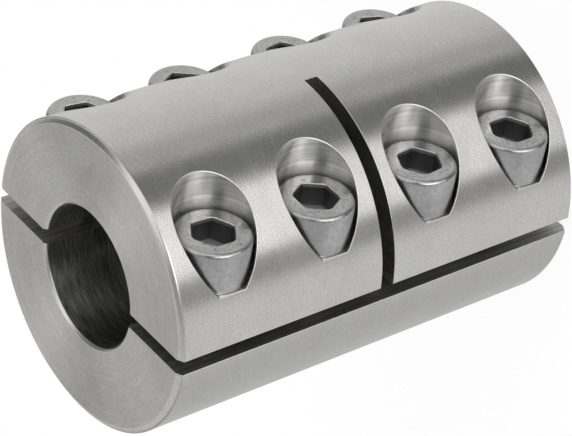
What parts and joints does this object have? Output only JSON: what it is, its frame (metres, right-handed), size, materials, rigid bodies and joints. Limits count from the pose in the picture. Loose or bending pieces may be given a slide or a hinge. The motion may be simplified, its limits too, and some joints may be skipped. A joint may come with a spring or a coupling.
{
  "type": "rigid shaft coupling",
  "caption": "Rigid clamping shaft coupling in two half shells, drawn together on two shafts by rows of socket head cap screws, with a cross slot in one half.",
  "frame": {"origin": "centre of the bore on the lower end face, which the coupling stands on", "axes": "+Z along the bore axis, up from the standing end. The halves part along the XZ plane, the screw heads face -Y, and the cross slot is on the -X side"},
  "size_m": [0.042, 0.042, 0.065],
  "materials": {
    "halves": "fine turned stainless steel",
    "screws": "smooth stainless steel"
  },
  "bodies": {
    "root": {"clamp_half": "halves", "base_half": "halves", "screw_front_1": "screws", "screw_front_2": "screws", "screw_front_3": "screws", "screw_front_4": "screws", "screw_rear_1": "screws", "screw_rear_2": "screws", "screw_rear_3": "screws", "screw_rear_4": "screws"}
  },
  "joints": []
}
